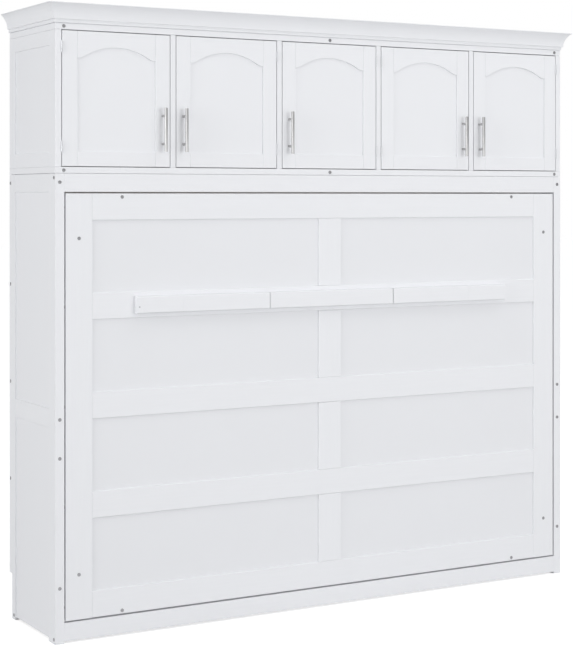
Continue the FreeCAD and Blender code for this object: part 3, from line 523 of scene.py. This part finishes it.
# %% Cornice
CROWN_EDGE = 0.0006
BAND_PROUD = 0.006
BAND_SET_BACK = 0.0025
OLD_BAND, OLD_COVE_TOP = 0.015, 0.057
NEW_BAND, NEW_COVE_TOP = 0.012, 0.062
crown_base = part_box("crown_front")[0][2]
carcass_left, carcass_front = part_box("hutch_top_board")[0][:2]


def slid_profile(length):
    """Slides the corners of a length of cornice: a thinner lip, and a band set further back."""
    for vertex in length.data.vertices:
        height = vertex.co.z - crown_base
        beyond_side = abs(vertex.co.x) + carcass_left
        beyond_front = carcass_front - vertex.co.y
        if 0 < beyond_side < BAND_PROUD + CLOSE:
            vertex.co.x -= math.copysign(BAND_SET_BACK, vertex.co.x)
        if 0 < beyond_front < BAND_PROUD + CLOSE:
            vertex.co.y += BAND_SET_BACK
        if OLD_BAND - CLOSE < height < OLD_COVE_TOP + CLOSE:
            share = (height - OLD_BAND) / (OLD_COVE_TOP - OLD_BAND)
            vertex.co.z = crown_base + NEW_BAND + share * (NEW_COVE_TOP - NEW_BAND)


for node in ("crown_front", "crown_sides"):
    piece = eased_boards(node, PAINT, CROWN_EDGE, [slid_profile])
    print(piece.name, len(piece.data.polygons), "faces")

# %% [markdown]
# ## Panels
# The panels are thin painted boards held behind the frames, so all their edges are hidden.
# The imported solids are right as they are, and only take a finish.

# %% Panels
DOOR_NUMBERS = range(1, 6)
panels = ["bed_panels", "side_panels", "hutch_side_panels", "hutch_back_panel"]
panels += [f"door_{number}_panel" for number in DOOR_NUMBERS]
for node in panels:
    frame["nodes"][node].data.materials.clear()
    frame["nodes"][node].data.materials.append(BED_PANEL_PAINT if node == "bed_panels" else PANEL_PAINT)
print(len(panels), "panel nodes painted")

# %% [markdown]
# ## Deck
# The hutch is a box of its own that stands on the lower cabinet, and a fine dark groove shows where they
# meet. So the deck board is a block that ends a little higher, and its underside is inset and pushed down
# to make a smaller foot: the groove runs all round, under the board's eased edge.

# %% Deck
GROOVE_HEIGHT = 0.0013
GROOVE_DEPTH = 0.006
DECK_EDGE = 0.0004
DECK_SHIFT = 4.2
deck_low, deck_high = (Vector(corner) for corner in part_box("hutch_deck"))
deck = block(deck_low + Vector((0, 0, GROOVE_HEIGHT)), deck_high)
bpy.ops.object.mode_set(mode="EDIT")
select_faces(deck, Vector((0, 0, -1)))
bpy.ops.mesh.inset(thickness=GROOVE_DEPTH)
bpy.ops.mesh.extrude_region_move(TRANSFORM_OT_translate={"value": (0, 0, -GROOVE_HEIGHT)})
bpy.ops.object.mode_set(mode="OBJECT")
set_finish(deck, PAINT["x"], DECK_SHIFT)
stand_in(joined([eased(deck, DECK_EDGE)], "hutch_deck_board"), "hutch_deck")
print(deck.name, len(deck.data.polygons), "faces")

# %% [markdown]
# ## Arched doors
# A door is four boards round a panel: two stiles, a plain bottom rail, and a top rail sawn to a flat arch
# that flares out again where it meets the stiles.
# The arch could be cut with a boolean, but its faces would be ragged.
# A block divided along its length is cleaner: only its lower corners are lifted onto the curve, and the same
# block then bevels evenly.
# One door is modelled in the middle of the row and copied to the other four places.

# %% One door
DOOR_EDGE = 0.0012
STILE_WIDTH = 0.054
BOTTOM_RAIL = 0.050
SHOULDER = 0.091
ARCH_RISE = 0.040
FLARE_RADIUS = 0.050
ARCH_CUTS = 47
SHIFT_PER_DOOR_BOARD = 2.3
FRAME_NODE = "door_3_frame"
door_low, door_high = (Vector(corner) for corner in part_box(FRAME_NODE))
door_middle = (door_low.x + door_high.x) / 2
arch_half = (door_high.x - door_low.x) / 2 - STILE_WIDTH
arch_angle = 2 * math.atan(ARCH_RISE / arch_half)
arch_radius = arch_half / math.sin(arch_angle) - FLARE_RADIUS


def arch_lift(x):
    """How far the arch stands over its shoulders, at a distance from the door's middle."""
    reach = abs(x)
    if reach <= arch_radius * math.sin(arch_angle):
        return ARCH_RISE - arch_radius + math.sqrt(arch_radius ** 2 - reach ** 2)
    return FLARE_RADIUS - math.sqrt(max(0.0, FLARE_RADIUS ** 2 - (arch_half - reach) ** 2))


def select_edges(piece, test):
    """In edit mode, selects the edges that pass a test on their two ends."""
    bpy.ops.mesh.select_mode(type="EDGE")
    bpy.ops.mesh.select_all(action="DESELECT")
    mesh = bmesh.from_edit_mesh(piece.data)
    for edge in mesh.edges:
        edge.select_set(test(edge.verts[0].co, edge.verts[1].co))
    bmesh.update_edit_mesh(piece.data)


def arched_rail(low, high):
    """The top rail: a block cut into slices along x, its lower corners lifted onto the arch."""
    rail = block(low, high)
    bpy.ops.object.mode_set(mode="EDIT")
    select_edges(rail, lambda a, b: abs(a.x - b.x) > CLOSE)
    bpy.ops.mesh.subdivide(number_cuts=ARCH_CUTS)
    bpy.ops.object.mode_set(mode="OBJECT")
    for vertex in rail.data.vertices:
        if vertex.co.z < low[2] + CLOSE:
            vertex.co.z += arch_lift(vertex.co.x - door_middle)
    return rail


inner_left = door_low.x + STILE_WIDTH
inner_right = door_high.x - STILE_WIDTH
front, back = door_low.y, door_high.y
door_boards = [
    (block(door_low, (inner_left, back, door_high.z)), "z"),
    (block((inner_right, front, door_low.z), door_high), "z"),
    (block((inner_left, front, door_low.z), (inner_right, back, door_low.z + BOTTOM_RAIL)), "x"),
    (arched_rail((inner_left, front, door_high.z - SHOULDER), (inner_right, back, door_high.z)), "x"),
]
for number, (board, axis) in enumerate(door_boards):
    set_finish(board, PAINT[axis], SHIFT_PER_DOOR_BOARD * number)
    eased(board, DOOR_EDGE)
door_pattern = joined([board for board, axis in door_boards], "door_pattern")
print("door pattern:", len(door_pattern.data.polygons), "faces; arch radius", round(arch_radius, 4))

# %% Five doors
SHIFT_PER_DOOR = 5.1


def copy_to(pattern, offset, name, mirror=False):
    """A copy of a pattern with its own mesh, moved in its mesh, and mirrored first if asked."""
    twin = pattern.copy()
    twin.data = pattern.data.copy()
    twin.name = name
    twin.data.name = name
    bpy.context.scene.collection.objects.link(twin)
    if mirror:
        twin.data.transform(Matrix.Scale(-1, 4, Vector((1, 0, 0))))
        twin.data.flip_normals()
    twin.data.transform(Matrix.Translation(offset))
    return twin


for number in DOOR_NUMBERS:
    node = f"door_{number}_frame"
    offset = Vector(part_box(node)[0]) - door_low
    twin = copy_to(door_pattern, offset, f"door_{number}_boards")
    for entry in twin.data.attributes["board_shift"].data:
        entry.value += SHIFT_PER_DOOR * number
    stand_in(twin, node)
bpy.data.objects.remove(door_pattern)

# %% [markdown]
# ## Pulls
# Each door has a bar pull: a round bar on two stems, with its ends chamfered.
# The bar starts as a cylinder and its end edges are bevelled in edit mode. The stems are thinner cylinders
# that reach into the bar, with a fine bevel where they stand on the door.
# One pull is modelled on the middle door and copied to the other doors' places.

# %% One pull
BAR_CHAMFER = 0.0009
STEM_RADIUS = 0.0045
STEM_HALF_SPREAD = 0.048
STEM_SHORT_OF_AXIS = 0.003
STEM_CHAMFER = 0.0005
PULL_SMOOTH_ANGLE = math.radians(40)


def cylinder(radius, low, high, axis, sides=32):
    """A cylinder along y or z from low to high, two points on its axis, with its place kept in its mesh."""
    bpy.ops.object.select_all(action="DESELECT")
    low, high = Vector(low), Vector(high)
    turn = {"y": (math.radians(90), 0, 0), "z": (0, 0, 0)}[axis]
    bpy.ops.mesh.primitive_cylinder_add(vertices=sides, radius=radius, depth=(high - low).length,
                                        location=(low + high) / 2, rotation=turn)
    bpy.ops.object.transform_apply(location=True, rotation=True, scale=True)
    return bpy.context.object


def bevel_edges(piece, test, offset, segments=2):
    """Bevels the edges that pass a test."""
    only(piece)
    bpy.ops.object.mode_set(mode="EDIT")
    select_edges(piece, test)
    bpy.ops.mesh.bevel(offset=offset, segments=segments, affect="EDGES", clamp_overlap=True)
    bpy.ops.object.mode_set(mode="OBJECT")


pull_low, pull_high = (Vector(corner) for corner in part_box("door_3_pull"))
bar_radius = (pull_high.x - pull_low.x) / 2
bar_axis = Vector(((pull_low.x + pull_high.x) / 2, pull_low.y + bar_radius, 0))
bar_ends = [bar_axis + Vector((0, 0, level)) for level in (pull_low.z, pull_high.z)]
bar = cylinder(bar_radius, *bar_ends, "z")
bevel_edges(bar, lambda a, b: abs(a.z - b.z) < CLOSE, BAR_CHAMFER)
pull_parts = [bar]
stem_tip = bar_axis.y + STEM_SHORT_OF_AXIS
for side in (-1, 1):
    stem_z = (pull_low.z + pull_high.z) / 2 + side * STEM_HALF_SPREAD
    stem = cylinder(STEM_RADIUS, (bar_axis.x, pull_high.y, stem_z), (bar_axis.x, stem_tip, stem_z), "y")
    bevel_edges(stem, lambda a, b: min(a.y, b.y) > pull_high.y - CLOSE, STEM_CHAMFER)
    pull_parts.append(stem)
pull_pattern = joined(pull_parts, "pull_pattern")
set_finish(pull_pattern, NICKEL)
only(pull_pattern)
bpy.ops.object.shade_smooth_by_angle(angle=PULL_SMOOTH_ANGLE)
print("pull pattern:", len(pull_pattern.data.polygons), "faces")

# %% Five pulls
for number in DOOR_NUMBERS:
    node = f"door_{number}_pull"
    offset = Vector(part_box(node)[0]) - pull_low
    stand_in(copy_to(pull_pattern, offset, f"door_{number}_bar_pull"), node)
bpy.data.objects.remove(pull_pattern)
print("pulls dressed")

# %% [markdown]
# ## Hinges
# Small butt hinges sit in the door gaps, so little more than their barrels shows; two more turn the legs of
# the bar. A barrel has three knuckles round a pin: the outer two stay with the fixed side, the middle one
# goes with the door or the leg. A knuckle is an open cylinder thickened inwards, so that the pin really
# passes through it; the leaf is a thin plate from the barrel into the gap.
# One hinge of each kind is modelled with the fixed side on its right, and mirrored where that is on its left.

# %% One hinge
PIN_RADIUS = 0.0011
PIN_OVERHANG = 0.0004
PIN_ROUND = 0.0004
PIN_SIDES = 20
BORE_RADIUS = 0.0013
KNUCKLE_ROUND = 0.0003
KNUCKLE_SIDES = 24
LEAF = 0.0009
LEAF_WIDTH = 0.015
LEAF_EDGE = 0.0002
TAB_SET_IN = 0.0004
TAB_EDGE = 0.0001
RUNNING_GAP = 0.0003


def knuckle(radius, y, low, high):
    """A short tube round the hinge's axis, with its rims softened."""
    bpy.ops.object.select_all(action="DESELECT")
    bpy.ops.mesh.primitive_cylinder_add(vertices=KNUCKLE_SIDES, radius=radius, depth=high - low,
                                        end_fill_type="NOTHING", location=(0, y, (low + high) / 2))
    piece = bpy.context.object
    bpy.ops.object.transform_apply(location=True, rotation=True, scale=True)
    apply_modifier(piece, "SOLIDIFY", thickness=radius - BORE_RADIUS, offset=-1)
    return eased(piece, KNUCKLE_ROUND, segments=2)


def hinge_half(kind, side, knuckles):
    """A leaf with its knuckles; the hinge's axis is at x = 0 and its lower end at z = 0."""
    near, far = sorted((side * (kind["half_gap"] - LEAF), side * kind["half_gap"]))
    axis, leaf_front = kind["axis"], kind["leaf_front"]
    leaf = block((near, leaf_front, 0), (far, leaf_front + LEAF_WIDTH, kind["height"]))
    parts = [eased(leaf, LEAF_EDGE, segments=1)]
    for low, high in knuckles:
        parts.append(knuckle(kind["barrel"], axis, low, high))
        tab = block((near, axis + BORE_RADIUS, low + TAB_SET_IN), (far, leaf_front, high - TAB_SET_IN))
        parts.append(eased(tab, TAB_EDGE, segments=1))
    half = joined(parts, "hinge_half")
    set_finish(half, HINGE_STEEL)
    return half


def hinge_patterns(kind):
    """The fixed half, the moving half and the pin of one kind of hinge."""
    height, axis = kind["height"], kind["axis"]
    length = (height - 2 * RUNNING_GAP) / 3
    step = length + RUNNING_GAP
    fixed = hinge_half(kind, 1, [(0, length), (2 * step, height)])
    moving = hinge_half(kind, -1, [(step, step + length)])
    pin = cylinder(PIN_RADIUS, (0, axis, -PIN_OVERHANG), (0, axis, height + PIN_OVERHANG), "z", PIN_SIDES)
    eased(pin, PIN_ROUND, segments=2)
    set_finish(pin, HINGE_STEEL)
    return fixed, moving, pin


DOOR_BARREL = 0.0026
DOOR_HINGE = {"height": 0.040, "barrel": DOOR_BARREL, "half_gap": 0.0012, "leaf_front": door_low.y,
              "axis": door_low.y - DOOR_BARREL - RUNNING_GAP}
fixed_pattern, moving_pattern, pin_pattern = hinge_patterns(DOOR_HINGE)
for pattern in (fixed_pattern, moving_pattern, pin_pattern):
    print("hinge pattern:", len(pattern.data.polygons), "faces")

# %% Ten door hinges
door_joints = [joint for joint in frame["joints"] if joint["name"].startswith("door_")]
HINGE_SIDES = {joint["child"]: joint["axis"][2] for joint in door_joints}
fixed_halves, pins = [], []
for number in DOOR_NUMBERS:
    node = f"door_{number}_hinges"
    low, high = (Vector(corner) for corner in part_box(node))
    mirror = HINGE_SIDES[f"door_{number}"] < 0
    moving_halves = []
    for z in (low.z, high.z - DOOR_HINGE["height"]):
        offset = Vector(((low.x + high.x) / 2, 0, z))
        moving_halves.append(copy_to(moving_pattern, offset, "moving_half", mirror))
        fixed_halves.append(copy_to(fixed_pattern, offset, "fixed_half", mirror))
        pins.append(copy_to(pin_pattern, offset, "hinge_pin", mirror))
    stand_in(joined(moving_halves, f"door_{number}_hinge_halves"), node)
stand_in(joined(fixed_halves, "fixed_hinge_halves"), "hinge_leaves")
stand_in(joined(pins, "hinge_barrel_pins"), "hinge_pins")
for pattern in (fixed_pattern, moving_pattern, pin_pattern):
    bpy.data.objects.remove(pattern)
print("door hinges dressed:", len(HINGE_SIDES) * 2)

# %% Two leg hinges
leg_low, leg_high = (Vector(corner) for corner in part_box("left_leg_hinge"))
LEG_BARREL = 0.0022
LEG_HINGE = {"height": leg_high.z - leg_low.z, "barrel": LEG_BARREL, "half_gap": 0.0025,
             "axis": leg_low.y + LEG_BARREL, "leaf_front": leg_low.y + 2 * LEG_BARREL + RUNNING_GAP}
fixed_pattern, moving_pattern, pin_pattern = hinge_patterns(LEG_HINGE)
leg_fixed = []
for side, mirror in (("left", False), ("right", True)):
    node = f"{side}_leg_hinge"
    place = next(joint["pos_m"][0] for joint in frame["joints"] if joint["name"] == f"{side}_leg_swing")
    offset = Vector((place, 0, leg_low.z))
    stand_in(copy_to(moving_pattern, offset, f"{side}_leg_hinge_half", mirror), node)
    leg_fixed.append(copy_to(fixed_pattern, offset, "leg_fixed_half", mirror))
    leg_fixed.append(copy_to(pin_pattern, offset, "leg_hinge_pin", mirror))
stand_in(joined(leg_fixed, "leg_fixed_halves"), "leg_hinge_leaves")
for pattern in (fixed_pattern, moving_pattern, pin_pattern):
    bpy.data.objects.remove(pattern)
print("leg hinges dressed at height", round(leg_low.z, 4))

# %% [markdown]
# ## The bed's front and its box
# The front is one large frame of two stiles, five rails and short mullions, with eight panels set back.
# Behind it a shallow box of boards holds the mattress, on pine slats that rest on ledgers.
# These are plain boards, so the easing helper makes them all; the slats get a wider round, as sold.
# The rails' front edges are rounded more than the rest: light from above draws a bright line along the upper
# ones, and the lower ones turn away from it and draw a dark line over each panel.

# %% Bed boards
RAIL_EDGE = 0.0006
RAIL_TOP_ROUND, RAIL_BOTTOM_ROUND = 0.0020, 0.0034
ROUND_SEGMENTS = 4


def round_front(top, bottom):
    """A shaping that rounds the upper and the lower front edge of a board that lies along the front."""
    def shaping(board):
        low, high = extents(board)
        for level, width in ((high.z, top), (low.z, bottom)):
            def on_edge(a, b):
                return all(end.y < low.y + CLOSE and abs(end.z - level) < CLOSE for end in (a, b))

            bevel_edges(board, on_edge, width, ROUND_SEGMENTS)
    return shaping


piece = eased_boards("bed_rails", PAINT, RAIL_EDGE, [round_front(RAIL_TOP_ROUND, RAIL_BOTTOM_ROUND)])
print(piece.name, len(piece.data.polygons), "faces")
BED_EDGES = {
    "bed_stiles": 0.0015, "bed_mullions": 0.0020, "bed_long_boards": 0.0012, "bed_end_boards": 0.0012,
}
for node, width in BED_EDGES.items():
    piece = eased_boards(node, PAINT, width)
    print(piece.name, len(piece.data.polygons), "faces")

# %% Slats and ledgers
PINE_EDGES = {"bed_slats": 0.0025, "bed_ledgers": 0.0010}
for node, width in PINE_EDGES.items():
    piece = eased_boards(node, PINE, width)
    print(piece.name, len(piece.data.polygons), "faces")

# %% [markdown]
# ## The bar of legs
# Across the second rail runs a bar: a fixed block in the middle, on each side of it a leg that swings out on
# its hinge to carry the lowered bed, and beyond the legs a short fixed block.
# They were rounded along their length and then sawn to size, so the long front edges get a wide round first,
# and the sawn ends only a very fine one.
# A leg needs room behind its tip to swing out, but not in front, so the front of the tip is drawn out a
# little and only a fine seam shows before the end block.

# %% Leg bar
BAR_EDGE = 0.0001
BAR_TOP_ROUND, BAR_BOTTOM_ROUND = 0.0050, 0.0040
TIP_REACH = 0.00065
bar_round = round_front(BAR_TOP_ROUND, BAR_BOTTOM_ROUND)


def drawn_tip(leg):
    """Draws out the front of a leg's outer end."""
    low, high = extents(leg)
    tip = max(low.x, high.x, key=abs)
    for vertex in leg.data.vertices:
        if abs(vertex.co.x - tip) < CLOSE and vertex.co.y < low.y + CLOSE:
            vertex.co.x += math.copysign(TIP_REACH, tip)


LEG_SHAPINGS = [drawn_tip, bar_round]
BAR_SHAPINGS = {"leg_bar_blocks": [bar_round], "left_leg": LEG_SHAPINGS, "right_leg": LEG_SHAPINGS}
for node, shapings in BAR_SHAPINGS.items():
    piece = eased_boards(node, PAINT, BAR_EDGE, shapings)
    print(piece.name, len(piece.data.polygons), "faces")

# %% [markdown]
# ## Connector bolts
# Round bolt heads show wherever two boards are bolted together: a thin dome with a hexagon socket.
# The head starts as a cylinder; its top face is inset, that ring is drawn onto a hexagon, and the hexagon is
# pushed down to make the socket.
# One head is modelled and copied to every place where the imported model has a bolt, turned to face out of it.

# %% One bolt head
HEAD_SIDES = 24
HALF_SIDE_ANGLE = math.radians(30)
INSET_SHARE = 1.2
SOCKET_DEPTH_SHARE = 0.7
DOME_SHARE = 0.5
HEAD_SMOOTH_ANGLE = math.radians(35)


def bolt_head(radius, height, socket):
    """A bolt head on the z axis, standing on z = 0, with a hexagon socket."""
    bpy.ops.object.select_all(action="DESELECT")
    bpy.ops.mesh.primitive_cylinder_add(vertices=HEAD_SIDES, radius=radius, depth=height,
                                        location=(0, 0, height / 2))
    head = bpy.context.object
    bpy.ops.object.transform_apply(location=True, rotation=True, scale=True)
    bpy.ops.object.mode_set(mode="EDIT")
    select_faces(head, Vector((0, 0, 1)))
    bpy.ops.mesh.inset(thickness=radius - socket * INSET_SHARE)
    mesh = bmesh.from_edit_mesh(head.data)
    for vertex in mesh.verts:
        if vertex.select:
            angle = math.atan2(vertex.co.y, vertex.co.x)
            turn = (angle + HALF_SIDE_ANGLE) % (2 * HALF_SIDE_ANGLE) - HALF_SIDE_ANGLE
            reach = socket * math.cos(HALF_SIDE_ANGLE) / math.cos(turn)
            vertex.co.x = reach * math.cos(angle)
            vertex.co.y = reach * math.sin(angle)
    bmesh.update_edit_mesh(head.data)
    bpy.ops.mesh.extrude_region_move(TRANSFORM_OT_translate={"value": (0, 0, -SOCKET_DEPTH_SHARE * height)})
    bpy.ops.object.mode_set(mode="OBJECT")

    def on_rim(a, b):
        return all(end.z > height - CLOSE and end.xy.length > radius - CLOSE for end in (a, b))

    bevel_edges(head, on_rim, DOME_SHARE * height, segments=3)
    set_finish(head, BOLT_ZINC)
    only(head)
    bpy.ops.object.shade_smooth_by_angle(angle=HEAD_SMOOTH_ANGLE)
    return head


bolt_pattern = bolt_head(radius=0.006, height=0.0016, socket=0.0026)
print("bolt pattern:", len(bolt_pattern.data.polygons), "faces")

# %% All bolt heads
SPIN_PER_HEAD = 0.7


def seated_head(pattern, foot, face, number):
    """A copy of a head that stands on foot and faces out, turned so that no two sockets match."""
    twin = copy_to(pattern, (0, 0, 0), "bolt_head")
    spin = Matrix.Rotation(SPIN_PER_HEAD * number, 4, "Z")
    turn = Vector(face).to_track_quat("Z", "Y").to_matrix().to_4x4()
    twin.data.transform(Matrix.Translation(foot) @ turn @ spin)
    return twin


def seat_bolts(node):
    """Copies the bolt head to each bolt of a node, turned to face away from the cabinet."""
    heads = []
    for number, part in enumerate(loose_parts(merged_copy(node))):
        low, high = extents(part)
        sides = high - low
        middle = (low + high) / 2
        if sides.x < sides.y:
            face = (math.copysign(1, middle.x), 0, 0)
            foot = (low.x if middle.x > 0 else high.x, middle.y, middle.z)
        else:
            face = (0, -1, 0)
            foot = (middle.x, high.y, middle.z)
        heads.append(seated_head(bolt_pattern, Vector(foot), face, number))
        bpy.data.objects.remove(part)
    stand_in(joined(heads, f"{node}_heads"), node)
    print(node, len(heads), "bolt heads")


for node in ("carcass_bolts", "bed_bolts"):
    seat_bolts(node)

# %% [markdown]
# ## Small heads on the bed
# The rails of the bed's front are bolted through the stiles, and those bolts show as dots in the gap at its
# sides. A small screw shows at the left end of the bar.
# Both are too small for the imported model, so they are copies of the bolt head that ride on the bed.

# %% Edge bolts
RAIL_HALF_HEIGHT = 0.045
EDGE_SET_BACK = 0.0125
RAIL_COUNT = 5
bed_low, bed_high = (Vector(corner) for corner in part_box("bed_stiles"))
rail_pitch = (bed_high.z - bed_low.z - 2 * RAIL_HALF_HEIGHT) / (RAIL_COUNT - 1)
edge_heads = []
for number in range(RAIL_COUNT):
    height = bed_low.z + RAIL_HALF_HEIGHT + number * rail_pitch
    for side, edge in ((-1, bed_low.x), (1, bed_high.x)):
        foot = Vector((edge, bed_low.y + EDGE_SET_BACK, height))
        edge_heads.append(seated_head(bolt_pattern, foot, (side, 0, 0), number + side))
edge_piece = joined(edge_heads, "bed_edge_heads")
print(edge_piece.name, len(edge_piece.data.polygons), "faces")

# %% The bar's screw
SCREW_FROM_END = 0.009
SCREW_BELOW_MIDDLE = 0.007
bar_low, bar_high = (Vector(corner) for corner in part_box("leg_bar_blocks"))
screw_pattern = bolt_head(radius=0.0026, height=0.0007, socket=0.0012)
screw_height = (bar_low.z + bar_high.z) / 2 - SCREW_BELOW_MIDDLE
foot = Vector((bar_low.x + SCREW_FROM_END, bar_low.y, screw_height))
screw_piece = joined([seated_head(screw_pattern, foot, (0, -1, 0), 1)], "bar_screw_head")
set_finish(screw_piece, PLATE_ZINC)
for piece in (edge_piece, screw_piece):
    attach(piece, "bed")
for pattern in (bolt_pattern, screw_pattern):
    bpy.data.objects.remove(pattern)
print(screw_piece.name, len(screw_piece.data.polygons), "faces")

# %% [markdown]
# ## Pivots and gas struts
# The bed turns on two pins in nylon bushes, low in the front posts, and two gas struts take its weight.
# They are turned parts and plates, so a merged copy of the solid only needs soft edges and smooth shading.

# %% Pivots, struts and pins
PLATE_EDGE, TUBE_EDGE, FINE_EDGE = 0.0004, 0.0006, 0.0003


def turned_copy(node, finish, width):
    """A merged copy of turned or plate work, with softened edges and smooth rounds."""
    parts = loose_parts(merged_copy(node))
    for part in parts:
        set_finish(part, finish)
        eased(part, width, segments=2)
    return stand_in(joined(parts, f"{node}_turned"), node)


for node, finish, width in (
    ("pivot_pins", PLATE_ZINC, PLATE_EDGE), ("strut_brackets", PLATE_ZINC, PLATE_EDGE),
    ("strut_studs", PLATE_ZINC, PLATE_EDGE), ("pivot_bushes", NYLON, FINE_EDGE),
    ("left_strut_cylinder", TUBE_BLACK, TUBE_EDGE), ("right_strut_cylinder", TUBE_BLACK, TUBE_EDGE),
    ("left_strut_rod", CHROME, FINE_EDGE), ("right_strut_rod", CHROME, FINE_EDGE),
):
    piece = turned_copy(node, finish, width)
    print(piece.name, len(piece.data.polygons), "faces")
